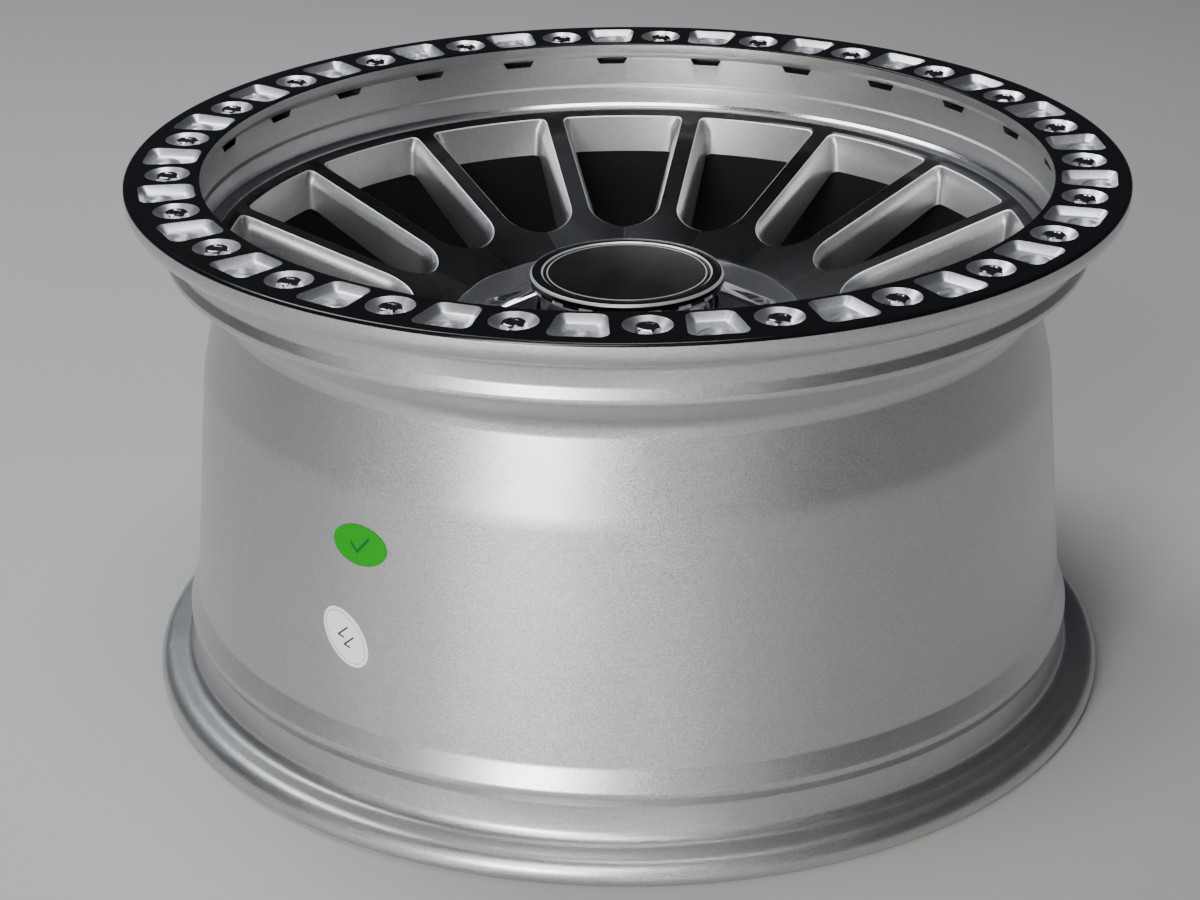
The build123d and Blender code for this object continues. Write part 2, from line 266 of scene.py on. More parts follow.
def linkShader(tree, shader, colour, rough, normal):
    for socket, value in (("Base Color", colour), ("Roughness", rough), ("Normal", normal)):
        tree.links.new(value, shader.inputs[socket])


def linkTangent(tree, shader):
    # Lathe grooves run about the axle.
    tangent = addNode(tree, "ShaderNodeTangent", direction_type="RADIAL", axis="Z")
    tree.links.new(tangent.outputs[0], shader.inputs["Tangent"])


floatSocket, vectorSocket = "NodeSocketFloat", "NodeSocketVector"


def flakeGroupOf():
    # Aluminium flakes in paint: each flake has its own tone and leans its own way.
    tree, given, out = newGroup("paintFlakes", {"Size": 0.5, "Lean": 0.2},
                                {"Tone": floatSocket, "Cloud": floatSocket, "Normal": vectorSocket})
    scale = addMath(tree, "DIVIDE", 1000.0, given["Size"])
    point = objectPoint(tree)
    cells = addNode(tree, "ShaderNodeTexVoronoi", {"Vector": point, "Scale": scale})
    split = addNode(tree, "ShaderNodeSeparateColor", {0: cells.outputs["Color"]})
    cloud = addNode(tree, "ShaderNodeTexNoise", {"Vector": point, "Scale": 14.0, "Detail": 4.0})
    bump = addNode(tree, "ShaderNodeBump", {"Strength": given["Lean"], "Distance": 0.0003,
                                           "Height": split.outputs[1]})
    tree.links.new(split.outputs[0], out["Tone"])
    tree.links.new(cloud.outputs["Fac"], out["Cloud"])
    tree.links.new(bump.outputs["Normal"], out["Normal"])
    return tree


def turnedGroupOf():
    # Fine rings that a lathe tool leaves about the axle.
    tree, given, out = newGroup("latheLines", {"Spacing": 0.4, "Depth": 0.2},
                                {"Lines": floatSocket, "Normal": vectorSocket})
    split = addNode(tree, "ShaderNodeSeparateXYZ", {0: objectPoint(tree)})
    squares = addMath(tree, "ADD", addMath(tree, "MULTIPLY", split.outputs[0], split.outputs[0]),
                      addMath(tree, "MULTIPLY", split.outputs[1], split.outputs[1]))
    radius = addMath(tree, "SQRT", squares)
    across = addMath(tree, "ADD", radius, addMath(tree, "MULTIPLY", split.outputs[2], 0.7))
    spot = addMath(tree, "DIVIDE", addMath(tree, "MULTIPLY", across, 1000.0), given["Spacing"])
    lines = addNode(tree, "ShaderNodeTexNoise", {"W": spot, "Scale": 1.0, "Detail": 2.0}, noise_dimensions="1D")
    bump = addNode(tree, "ShaderNodeBump", {"Strength": given["Depth"], "Distance": 0.0002,
                                           "Height": lines.outputs["Fac"]})
    tree.links.new(lines.outputs["Fac"], out["Lines"])
    tree.links.new(bump.outputs["Normal"], out["Normal"])
    return tree


def handlingGroupOf():
    # Dust specks and the faint smears of handling.
    tree, given, out = newGroup("handlingMarks", {"Specks": 0.5, "Smears": 0.5},
                                {"Specks": floatSocket, "Smears": floatSocket})
    point = objectPoint(tree)
    dots = addNode(tree, "ShaderNodeTexVoronoi", {"Vector": point, "Scale": 260.0, "Randomness": 1.0})
    gate = addNode(tree, "ShaderNodeTexNoise", {"Vector": point, "Scale": 90.0, "Detail": 2.0})
    speck = addMath(tree, "MULTIPLY", addRange(tree, dots.outputs["Distance"], 0.06, 0.10, 1.0, 0.0),
                    addRange(tree, gate.outputs["Fac"], 0.55, 0.62, 0.0, 1.0))
    smear = addNode(tree, "ShaderNodeTexNoise", {"Vector": point, "Scale": 22.0, "Detail": 5.0,
                                                "Distortion": 1.2})
    tree.links.new(addMath(tree, "MULTIPLY", speck, given["Specks"]), out["Specks"])
    smears = addRange(tree, smear.outputs["Fac"], 0.4, 0.7, 0.0, 1.0)
    smears = addMath(tree, "MULTIPLY", smears, given["Smears"])
    tree.links.new(smears, out["Smears"])
    return tree


flakeGroup, turnedGroup, handlingGroup = flakeGroupOf(), turnedGroupOf(), handlingGroupOf()


def silverPaintOf(name, light, dark, roughness):
    # Metallic paint under a thin clear coat.
    material, tree, shader = newMaterial(name, Metallic=1.0, Coat_Weight=0.35, Coat_Roughness=0.12)
    flakes = placeGroup(tree, flakeGroup, Size=0.45, Lean=0.35)
    marks = placeGroup(tree, handlingGroup, Specks=0.5, Smears=0.5)
    tone = addMath(tree, "ADD", addMath(tree, "MULTIPLY", flakes["Tone"], 0.7),
                   addMath(tree, "MULTIPLY", flakes["Cloud"], 0.3))
    rough = addMath(tree, "ADD", addRange(tree, flakes["Tone"], 0.0, 1.0, roughness - 0.05, roughness + 0.05),
                    addMath(tree, "MULTIPLY", marks["Smears"], 0.06))
    linkShader(tree, shader, addBlend(tree, tone, dark, light), rough, flakes["Normal"])
    return material


def machinedOf(name, light, dark, roughness, spacing=0.35, depth=0.25):
    material, tree, shader = newMaterial(name, Metallic=1.0)
    lathe = placeGroup(tree, turnedGroup, Spacing=spacing, Depth=depth)
    marks = placeGroup(tree, handlingGroup, Specks=0.3, Smears=0.6)
    rough = addMath(tree, "ADD", addRange(tree, lathe["Lines"], 0.3, 0.7, roughness - 0.04, roughness + 0.04),
                    addMath(tree, "MULTIPLY", marks["Smears"], 0.08))
    linkShader(tree, shader, addBlend(tree, lathe["Lines"], dark, light), rough, lathe["Normal"])
    return material


def satinOf(name, light, dark, roughness, size, lean, metal=1.0):
    # Bare metal, cut or tumbled: fine grains in tone and lean, with smears of handling.
    material, tree, shader = newMaterial(name, Metallic=metal)
    grains = placeGroup(tree, flakeGroup, Size=size, Lean=lean)
    marks = placeGroup(tree, handlingGroup, Specks=0.3, Smears=0.5)
    rough = addMath(tree, "ADD", addRange(tree, grains["Cloud"], 0.3, 0.7, roughness - 0.03, roughness + 0.03),
                    addMath(tree, "MULTIPLY", marks["Smears"], 0.06))
    linkShader(tree, shader, addBlend(tree, grains["Tone"], dark, light), rough, grains["Normal"])
    return material


def glossOf(name, colour, dust, roughness, **settings):
    # Plastic, lacquer and printed film, with specks of dust.
    material, tree, shader = newMaterial(name, **settings)
    marks = placeGroup(tree, handlingGroup, Specks=0.8, Smears=1.0)
    flakes = placeGroup(tree, flakeGroup, Size=1.6, Lean=0.02)
    rough = addMath(tree, "ADD", addMath(tree, "MULTIPLY", marks["Smears"], 0.08),
                    addRange(tree, flakes["Cloud"], 0.0, 1.0, roughness - 0.02, roughness + 0.02))
    linkShader(tree, shader, addBlend(tree, marks["Specks"], colour, dust), rough, flakes["Normal"])
    return material


silverPaint = silverPaintOf("silverPaint", (0.70, 0.71, 0.72, 1), (0.50, 0.51, 0.52, 1), 0.36)
brightCut = satinOf("brightCut", (0.95, 0.95, 0.96, 1), (0.86, 0.86, 0.87, 1), 0.45, 0.3, 0.1, metal=0.7)
pocketMetal = satinOf("pocketMetal", (0.84, 0.85, 0.87, 1), (0.68, 0.69, 0.71, 1), 0.34, 0.5, 0.25)
dishMetal = satinOf("dishMetal", (0.95, 0.95, 0.96, 1), (0.85, 0.85, 0.87, 1), 0.34, 0.4, 0.06)
# Near black for the barrel's inside and the hidden backs: painted shade, standing in for the shade inside the wheel.
insideShadeBlack = glossOf("insideShadeBlack", (0.016, 0.016, 0.018, 1), (0.06, 0.06, 0.06, 1), 0.55)
ringBlack = glossOf("ringBlack", (0.004, 0.004, 0.005, 1), (0.05, 0.05, 0.05, 1), 0.16, IOR=1.42)
boltSteel = satinOf("boltSteel", (0.34, 0.34, 0.36, 1), (0.26, 0.26, 0.27, 1), 0.15, 0.5, 0.03)
darkChrome = satinOf("darkChrome", (0.52, 0.52, 0.55, 1), (0.48, 0.48, 0.51, 1), 0.07, 0.8, 0.01)
chromeLine = satinOf("chromeLine", (0.90, 0.90, 0.92, 1), (0.84, 0.84, 0.86, 1), 0.36, 0.3, 0.04, metal=0.6)
screwSteel = machinedOf("screwSteel", (0.55, 0.55, 0.56, 1), (0.38, 0.38, 0.39, 1), 0.28)
capBlack = glossOf("capBlack", (0.004, 0.004, 0.004, 1), (0.04, 0.04, 0.04, 1), 0.18, IOR=1.3)
bezelBlack = glossOf("bezelBlack", (0.004, 0.004, 0.005, 1), (0.05, 0.05, 0.05, 1), 0.1, IOR=1.45)
stickerGreen = glossOf("stickerGreen", (0.0, 0.30, 0.006, 1), (0.05, 0.35, 0.06, 1), 0.45, IOR=1.3)
stickerWhite = glossOf("stickerWhite", (0.93, 0.93, 0.95, 1), (0.6, 0.6, 0.6, 1), 0.45)
stickerLine = glossOf("stickerLine", (0.42, 0.42, 0.44, 1), (0.3, 0.3, 0.3, 1), 0.45)
stickerInk = glossOf("stickerInk", (0.03, 0.03, 0.035, 1), (0.1, 0.1, 0.1, 1), 0.45)
stickerTick = glossOf("stickerTick", (0.0, 0.10, 0.012, 1), (0.1, 0.2, 0.1, 1), 0.4)


def creaseGlintOf(tree):
    # A painted highlight: a fine bright line down the middle of each valley between two spokes' facets, standing in
    # for the glint of the crease.
    split = addNode(tree, "ShaderNodeSeparateXYZ", {0: objectPoint(tree)})
    flat = addNode(tree, "ShaderNodeCombineXYZ", {0: split.outputs[0], 1: split.outputs[1]})
    radius = addNode(tree, "ShaderNodeVectorMath", {0: flat.outputs[0]}, operation="LENGTH").outputs["Value"]
    turn = addMath(tree, "ARCTAN2", split.outputs[1], split.outputs[0])
    offset = addMath(tree, "MULTIPLY", addMath(tree, "PINGPONG", turn, math.pi / casting["spokes"]), radius)
    glintBand = addRange(tree, offset, 0.00015, 0.0003, 1.0, 0.0)
    return addMath(tree, "MULTIPLY", glintBand, addRange(tree, radius, 0.1040, 0.1042, 1.0, 0.0))


def tintedFaceOf():
    # Lathe-cut metal under a dark clear coat: the cut lines spread its sheen into broad wedges.
    material, tree, shader = newMaterial("tintedFace", Metallic=1.0, Anisotropic=0.9, Coat_Weight=0.5,
                                         Coat_Roughness=0.08)
    lathe = placeGroup(tree, turnedGroup, Spacing=0.5, Depth=0.12)
    marks = placeGroup(tree, handlingGroup, Specks=0.7, Smears=0.8)
    base = addBlend(tree, lathe["Lines"], (0.022, 0.023, 0.025, 1), (0.058, 0.059, 0.063, 1))
    dusty = addBlend(tree, marks["Specks"], base, (0.2, 0.2, 0.2, 1))
    # Painted highlight along the creases, mixed into the face's colour.
    glintedFace = addBlend(tree, creaseGlintOf(tree), dusty, (0.12, 0.12, 0.125, 1))
    linkShader(tree, shader, glintedFace, addRange(tree, marks["Smears"], 0.0, 1.0, 0.27, 0.33), lathe["Normal"])
    linkTangent(tree, shader)
    return material


def trimMetalOf():
    # Bare turned metal: its grooves spread the light across them.
    material, tree, shader = newMaterial("trimMetal", Metallic=1.0, Anisotropic=0.5)
    lathe = placeGroup(tree, turnedGroup, Spacing=0.9, Depth=0.05)
    marks = placeGroup(tree, handlingGroup, Specks=0.3, Smears=0.5)
    colour = addBlend(tree, lathe["Lines"], (0.60, 0.60, 0.62, 1), (0.82, 0.82, 0.84, 1))
    linkShader(tree, shader, colour, addRange(tree, marks["Smears"], 0.0, 1.0, 0.12, 0.16), lathe["Normal"])
    linkTangent(tree, shader)
    return material


# Wheel casting.

casting = {
    "coneTop": 218.3,       # height of the spoke face at its rim
    "coneRim": 196.1,
    "coneSlope": 20.1,
    "spokes": 16,
    "spokeWidth": 9.0,      # dark face between the bright edges
    "edgeWidth": 0.5,
    "flankDepth": 4.5,
    "flankAngle": 30.0,
    "draft": 5.0,
    "windowOuter": 190.5,
    "windowInner": 103.5,
    "wallDraft": 8.0,
    "cornerRounding": 4.0,
    "edgeDrop": 0.35,       # depth of the bright edge round a window
    "wallEnd": 56.0,        # depth at which a window's wall is open at the back
    "facetEnd": 116.0,      # inside this radius each spoke's face is flat
    "facetFade": 6.0,
    "barrelFront": (204.5, 159.0),
    "barrelBack": (214.3, 47.5),
    "hubFloor": 152.0,
    "lugs": 6,
    "firstLug": 30,
    "lugCircle": 69.85,
    "lugHole": 8.0,
    "lugSeat": 12.0,
    "valveHole": 5.65,
    "valveHeight": 198.0,
}

# paint numbers of the casting; the black one is painted shade, laid on the barrel's inside, the spokes' backs and the
# deep ends of windows, slots and holes
silver, tinted, bright, shadeBlack, trim = range(5)

tintedFace, trimMetal = tintedFaceOf(), trimMetalOf()
print("stage: materials")


def faceHeight(radius):
    return casting["coneTop"] - slope(casting["coneSlope"]) * (casting["coneRim"] - radius)


def spokeFaceHeight(x, y):
    # A flat facet for each spoke near the hub, and a plain cone further out.
    radius = math.hypot(x, y)
    pitch = math.tau / casting["spokes"]
    turn = math.atan2(y, x) % pitch - pitch / 2
    flat = min(1, max(0, (casting["facetEnd"] - radius) / casting["facetFade"]))
    return faceHeight(radius) - flat * (faceHeight(radius) - faceHeight(radius * math.cos(turn)))


def barrelRadius(height):
    (frontRadius, front), (backRadius, back) = casting["barrelFront"], casting["barrelBack"]
    return backRadius - (height - back) / (front - back) * (backRadius - frontRadius)


castingOutline = [
    # back flange, bead seat and its hump
    (235.6, 0, 4.4), (235.6, 12.7, 8.0), (218.3, 12.7, 6.5), (216.77, 30.2, 3.0), (218.57, 34.6, 3.0),
    (218.57, 37.6, 3.0),
    # barrel, drop and front bead seat
    (*casting["barrelBack"], 6.0), (*casting["barrelFront"], 60.0), (196.0, 195.5, 6.0), (196.0, 202.5, 7.0),
    (218.85, 219.6, 3.0), (218.85, 222.6, 1.5), (217.05, 227.0, 3.0), (217.86, 235.8, 3.5), (221.0, 239.5, 2.0),
    # shoulder, lip and trim ring
    (221.0, jointHeight, 0.4), (lipRadius, jointHeight, 0.4), (lipRadius, 230.2, 0.8), (202.5, 229.2, 0.8),
    (202.1, 220.4, 0), (200.8, 219.2, 0), (casting["coneRim"], 219.2, 0),
    # spoke face and the hub's recess
    (casting["coneRim"], casting["coneTop"], 0), (casting["facetEnd"], faceHeight(casting["facetEnd"]), 0),
    (110.0, faceHeight(110.0), 0), (85.0, faceHeight(85.0), 0), (83.5, faceHeight(83.5), 0.6),
    (81.5, casting["hubFloor"], 1.2), (53.05, casting["hubFloor"], 0.8),
    # hub's underside, the spokes' backs and the barrel's inside
    (53.05, 127.0, 1.5), (82.0, 127.0, 1.0), (95.0, 155.02, 6.0), (189.5, 198.08, 1.5), (197.6, 159.0, 60.0),
    (207.4, 47.5, 6.0), (213.0, 16.0, 6.0), (213.0, 0, 1.2),
]


def windowOutline(gap, innerRadius, outerRadius):
    # Plan of one window between two spokes a gap wide: round inner end, straight sides, arched outer end.
    endSteps, sideSteps, cornerSteps, arcSteps = 24, 14, 6, 12
    tilt = math.cos(math.radians(casting["coneSlope"]))
    half = math.pi / casting["spokes"]
    side = math.atan(tilt * math.tan(half))
    apex = gap / 2 / math.sin(half) / tilt
    innerEnd = innerRadius / tilt
    endRadius = (innerEnd - apex) / (1 / math.sin(side) - 1)
    outerTurn = half - math.asin(gap / 2 / outerRadius)
    middle = innerEnd + endRadius
    swing = math.pi / 2 - side
    # The points run from the -Y side round the inner end to the +Y side, then out and round the outer end.
    innerArc = []
    for step in range(endSteps + 1):
        turn = math.pi + swing - 2 * swing * step / endSteps
        innerArc.append(Vector(((middle + endRadius * math.cos(turn)) * tilt, endRadius * math.sin(turn))))
    corner = Vector((outerRadius * math.cos(outerTurn), outerRadius * math.sin(outerTurn)))
    startSide = innerArc[-1]
    along = (startSide - corner).normalized()
    outerTangent = Vector((math.sin(outerTurn), -math.cos(outerTurn)))
    reach = casting["cornerRounding"] / math.tan(along.angle(outerTangent) / 2)
    sideEnd = corner + along * reach
    arcStart = outerTurn - reach / outerRadius
    arcPoint = Vector((outerRadius * math.cos(arcStart), outerRadius * math.sin(arcStart)))
    upper = [startSide.lerp(sideEnd, step / sideSteps) for step in range(1, sideSteps + 1)]
    for step in range(1, cornerSteps):
        share = step / cornerSteps
        upper.append(sideEnd.lerp(corner, share).lerp(corner.lerp(arcPoint, share), share))
    for step in range(arcSteps + 1):
        turn = arcStart * (1 - step / arcSteps)
        upper.append(Vector((outerRadius * math.cos(turn), outerRadius * math.sin(turn))))
    lower = [Vector((point.x, -point.y)) for point in reversed(upper[:-1])]
    return innerArc + upper + lower


def windowLoop(drop, grow, level=None):
    # Window's outline at a drop below the face and grown by grow, or at one level.
    outer = casting["windowOuter"] - slope(casting["wallDraft"]) * max(drop, 0) + max(grow, 0)
    outline = windowOutline(casting["spokeWidth"] + 2 * casting["edgeWidth"] - 2 * grow,
                            casting["windowInner"] - grow, outer)
    return [Vector((point.x, point.y, level if level is not None else spokeFaceHeight(*point) - drop))
            for point in outline]


def windowCutter():
    # Bright edge, sloping flank with a rounded foot, and a drafted wall that is open at the back.
    edge, depth, wallEnd = casting["edgeWidth"], casting["flankDepth"], casting["wallEnd"]
    flank, draft = slope(casting["flankAngle"]), slope(casting["draft"])
    above = edge + 2.0 * edge / casting["edgeDrop"]
    foot = -flank * depth
    wallFoot = foot - 0.3 - draft * (wallEnd - depth)
    loops = [
        windowLoop(-2.0, above, level=236.0),
        windowLoop(-2.0, above),
        windowLoop(casting["edgeDrop"], 0.0),
        windowLoop(depth - 1.6, foot + 1.6 * flank),
        windowLoop(depth + 0.4, foot - 0.4 * flank * 0.5),
        windowLoop(depth + 2.4, foot - 2.0 * draft - 0.3),
        windowLoop(wallEnd, wallFoot),
        windowLoop(wallEnd, wallFoot, level=110.0),
    ]
    # The wall's deep end takes the black painted shade.
    return sleeve(loops, paints=[bright, bright, silver, silver, silver, silver, shadeBlack])


def slotLoop(halfWidth, rounding, height):
    low, high = lipRadius - 8.0, lipRadius + 8.0
    return roundedLoop([(low, halfWidth, 0), (low, -halfWidth, 0), (high, -halfWidth, rounding),
                        (high, halfWidth, rounding)], height)


def drainSlot():
    # The slot's sides and floor are black: painted shade.
    return sleeve([slotLoop(6.6, 1.0, 241.8), slotLoop(8.5, 1.0, jointHeight),
                   slotLoop(8.5, 1.0, jointHeight + 1.0)], paints=[shadeBlack, shadeBlack])


def lugCutter():
    circle, hole, seat, floor = (casting[key] for key in ("lugCircle", "lugHole", "lugSeat", "hubFloor"))
    # The bore below the seat is black: painted shade.
    return sleeve([circleLoop(seat + 0.9, floor + 1.0, circle), circleLoop(seat, floor, circle),
                   circleLoop(hole, 145.07, circle), circleLoop(hole, 120.0, circle)], paints=[tinted, bright, shadeBlack])


def valveCutter():
    radius = casting["valveHole"]
    hole = sleeve([circleLoop(radius, 170.0), circleLoop(radius, 230.0)], paints=[silver])
    return placed(hole, Matrix.Rotation(math.pi / 2, 4, "Y"), Matrix.Translation((0, 0, casting["valveHeight"])))


def paintNumber(radius, height):
    if 219.0 < height < 220.3 and 196.0 < radius < 202.2:
        return trim
    if 83.6 < radius < 196.0 and abs(height - faceHeight(radius)) < 1.0:
        return tinted
    front = casting["barrelFront"][1]
    wallMiddle = barrelRadius(height) - 3.5 if height < front else 201.0 - (height - front) * 0.22
    insideBarrel = 189.4 < radius < min(wallMiddle, 212.9)
    behindHub = 82.5 < radius < 189.6 and height < faceHeight(radius) - 12
    # Black inside the barrel and behind the hub is painted shade.
    return shadeBlack if (insideBarrel or behindHub) and 17 < height < 198.5 else silver


def levelFacets(shell):
    # The face between the hub's recess and the windows is cut flat for each spoke.
    for vert in shell.verts:
        radius = vert.co.xy.length
        if 82.0 < radius < casting["facetEnd"] and vert.co.z > faceHeight(radius) - 1.2:
            vert.co.z += spokeFaceHeight(vert.co.x, vert.co.y) - faceHeight(radius)
    return shell


def makeCasting():
    shell = turnedShell(castingOutline)
    for face in shell.faces:
        centre = face.calc_center_median()
        face.material_index = paintNumber(math.hypot(centre.x, centre.y), centre.z)
    shell = cutAway(levelFacets(shell), ringOf(windowCutter(), casting["spokes"]))
    shell = cutAway(shell, joined(ringOf(drainSlot(), boltCount, betweenBolts),
                                  ringOf(lugCutter(), casting["lugs"], casting["firstLug"]), valveCutter()))
    paints = [silverPaint, tintedFace, brightCut, insideShadeBlack, trimMetal]
    return makePiece("wheelCasting", shell, paints, ["wheel_casting"])


makeCasting()
print("stage: casting")

# Clamp ring.

clampRing = {
    "boltCircle": 215.3,
    "boltHole": 3.3,
    "pocketInner": 203.5,
    "pocketOuter": 228.5,
    "pocketDepth": 3.4,
    "pocketDraft": 43.0,
    "recessCentre": 220.5,
    "recessRadius": 7.5,
    "recessDepth": 3.0,
}

# paint numbers of the ring
ringFace, pocket, ringSide, dish = range(4)

ringOutline = [
    (235.6, frontHeight, 1.6), (233.4, frontHeight, 0), (201.6, frontHeight, 0), (200.3, frontHeight, 0.8),
    (200.3, 248.8, 0.3), (lipRadius, jointHeight, 0.2), (221.3, jointHeight, 0.3), (221.3, 241.3, 0.5),
    (235.6, 241.3, 8.0),
]


def pocketLoop(drop, grow, rounding):
    # Tapered pocket's outline at a drop below the ring's face, grown by grow.
    inner, outer = clampRing["pocketInner"] - grow, clampRing["pocketOuter"] + grow
    innerHalf, outerHalf = 9.8 + grow * 0.87, 13.0 + grow * 1.13
    corners = [(inner, innerHalf, rounding), (inner, -innerHalf, rounding), (outer, -outerHalf, rounding),
               (outer, outerHalf, rounding)]
    return roundedLoop(corners, frontHeight - drop)


def pocketCutter():
    depth, run = clampRing["pocketDepth"], slope(clampRing["pocketDraft"])
    loops = [
        pocketLoop(-2.0, 2.4, 5.0),
        pocketLoop(0.0, 0.25, 4.4),
        pocketLoop(0.3, 0.0, 4.2),
        pocketLoop(depth - 0.7, -(depth - 0.7) * run, 2.2),
        pocketLoop(depth - 0.15, -depth * run - 0.1, 1.6),
        pocketLoop(depth, -depth * run - 0.9, 1.2),
    ]
    return sleeve(loops, paints=[pocket] * 5)


def recessCutter():
    centre, radius = clampRing["recessCentre"], clampRing["recessRadius"]
    floor = frontHeight - clampRing["pocketDepth"]
    depth = clampRing["recessDepth"]
    loops = [circleLoop(radius + 0.9, floor + 0.5, centre), circleLoop(radius + 0.4, floor, centre),
             circleLoop(radius, floor - 0.4, centre), circleLoop(radius, floor - depth + 0.8, centre),
             circleLoop(radius - 0.8, floor - depth, centre)]
    return sleeve(loops, paints=[pocket] * 4)


def dishCutter():
    # Shallow bright dish that a bolt head sits in.
    sides = [(12.2, 255.0), (10.5, frontHeight), (10.2, 253.75), (7.0, 250.2), (6.4, 249.8)]
    return sleeve([circleLoop(*side, clampRing["boltCircle"]) for side in sides], paints=[dish] * 4)


def boltHoleCutter():
    centre, radius = clampRing["boltCircle"], clampRing["boltHole"]
    return sleeve([circleLoop(radius, 252.0, centre, 20), circleLoop(radius, 240.0, centre, 20)], paints=[pocket])


def makeRing():
    shell = turnedShell(ringOutline, steps=400)
    for face in shell.faces:
        face.material_index = ringFace if face.calc_center_median().z > 252.0 else ringSide
    for between, onBolts in ((pocketCutter(), dishCutter()), (recessCutter(), boltHoleCutter())):
        shell = cutAway(shell, joined(ringOf(between, boltCount, betweenBolts),
                                      ringOf(onBolts, boltCount, firstBolt)))
    paints = [ringBlack, pocketMetal, silverPaint, dishMetal]
    return makePiece("clampRing", shell, paints, ["beadlock_ring"])


makeRing()
print("stage: ring")

# Ring bolts.

ringBolt = {"flats": 10.0, "headBase": 249.8, "headTop": 253.8, "shankEnd": 240.5}


def hexLoop(radius, height, centre, perSide=4, blend=0.0):
    # Six flats with the corners drawn in towards a circle by blend.
    points = []
    for side in range(6):
        for step in range(perSide):
            share = step / perSide
            turns = (math.radians(60 * (side + offset)) for offset in (0, 1))
            start, end = (Vector((math.cos(turn), math.sin(turn))) for turn in turns)
            flat = start.lerp(end, share) * radius / math.cos(math.pi / 6)
            point = flat.lerp(flat.normalized() * radius, blend)
            points.append(Vector((centre + point.x, point.y, height)))
    return points


def makeBolts():
    half, base, top = ringBolt["flats"] / 2, ringBolt["headBase"], ringBolt["headTop"]
    centre = clampRing["boltCircle"]
    shank = [(centre + (point.x - centre) * 0.6, point.y * 0.6) for point in hexLoop(half, 0, centre, blend=1.0)]
    loops = [[Vector((x, y, height)) for x, y in shank] for height in (ringBolt["shankEnd"], base)]
    loops += [
        hexLoop(half, base, centre),
        hexLoop(half, top - 0.9, centre),
        hexLoop(half - 0.1, top - 0.25, centre, blend=0.8),
        hexLoop(half - 0.5, top, centre, blend=1.0),
        hexLoop(half - 1.6, top, centre, blend=1.0),
        hexLoop(half - 2.0, top - 0.35, centre, blend=1.0),
    ]
    bolt = sleeve(loops, paints=[0] * 7)
    outward, inward = Matrix.Translation((centre, 0, 0)), Matrix.Translation((-centre, 0, 0))
    whole = bmesh.new()
    for index in range(boltCount):
        # Each head stopped at its own angle.
        spin = outward @ Matrix.Rotation(index * 2.4, 4, "Z") @ inward
        angle = math.radians(firstBolt + index * 360 / boltCount)
        whole = joined(whole, placed(joined(bolt), spin, Matrix.Rotation(angle, 4, "Z")))
    return makePiece("ringBolts", whole, [boltSteel], ["ring_bolts"])


makeBolts()
print("stage: bolts")

# Centre cap.

centreCap = {
    "top": 196.8,
    "bezelTop": 197.4,
    "baseTop": 190.4,
    "skirtFoot": 170.4,
    "arms": 6,
    "armWidth": 18.0,
    "armEnd": 75.5,
    "armEndHeight": 176.9,
    "armFlat": 43.5,        # where an arm's slope starts
    "postCircle": 64.0,
    "postRadius": 8.0,
    "screwHole": 3.3,
    "screwSeat": 176.75,
    "notches": 18,
}


def capPaint(shell, bands):
    # Faces in a band of (low radius, high radius, low height) take the second paint.
    for face in shell.faces:
        centre = face.calc_center_median()
        radius = centre.xy.length
        for low, high, foot in bands:
            if low < radius < high and centre.z > foot:
                face.material_index = 1
    return shell


def makeDisc():
    top = centreCap["top"]
    shell = turnedShell([(0, top - 2.0, 0), (40.2, top - 2.0, 0.2), (40.2, top, 0.3), (38.7, top, 0),
                         (38.6, top + 0.12, 0), (38.2, top + 0.12, 0), (38.1, top, 0), (0, top, 0)], steps=160)
    shell = capPaint(shell, [(38.0, 38.8, top - 0.5)])
    return makePiece("capDisc", shell, [capBlack, chromeLine], ["cap_disc"])


def notchCutter(top):
    # Shallow notch in the lower flank of the bezel.
    half, low, high, rounding = 3.6, top - 5.4, top - 3.4, 0.6
    corners = [(-half, low, rounding), (half, low, rounding), (half, high, rounding), (-half, high, rounding)]
    outline = roundedLoop(corners, 0.0, perCorner=3)
    return sleeve([[Vector((reach, point.x, point.y)) for point in outline] for reach in (46.1, 48.5)], paints=[1])


def makeBezel():
    top = centreCap["bezelTop"]
    shell = turnedShell([(40.5, top - 7.0, 0.3), (44.7, top - 7.0, 0.6), (46.9, top - 4.8, 0.6),
                         (46.9, top - 1.2, 0.5), (46.0, top, 0.4), (41.3, top, 0.15), (40.5, top - 0.6, 0.15)],
                        steps=192)
    shell = capPaint(shell, [(46.2, 46.9, top - 1.15), (40.0, 41.2, top - 1.2), (44.8, 46.7, top - 8)])
    shell = cutAway(shell, ringOf(notchCutter(top), centreCap["notches"], 5.0))
    return makePiece("capBezel", shell, [bezelBlack, chromeLine], ["cap_bezel"])


def armTop(x):
    start, end = centreCap["armFlat"], centreCap["armEnd"]
    return centreCap["baseTop"] - (x - start) * (centreCap["baseTop"] - centreCap["armEndHeight"]) / (end - start)


def armShell():
    # Sloping arm, drawn as side views from one flank across to the other.
    half, end, tip = centreCap["armWidth"] / 2, centreCap["armEnd"], centreCap["armEndHeight"]
    top, inner, start = centreCap["baseTop"], 38.0, centreCap["armFlat"]
    loops = []
    for station, inset in ((-half, 1.6), (-half + 0.5, 0.7), (-half + 1.6, 0.0), (half - 1.6, 0.0),
                           (half - 0.5, 0.7), (half, 1.6)):
        corners = [(inner, top - inset, 0), (start, top - inset, 0), (end - inset, tip - inset * 0.6, 4.0),
                   (end - inset, 169.9, 2.0), (inner, 171.0, 0)]
        loops.append([Vector((point.x, station, point.y)) for point in roundedLoop(corners, 0.0)])
    return sleeve(loops, paints=[0] * 5)


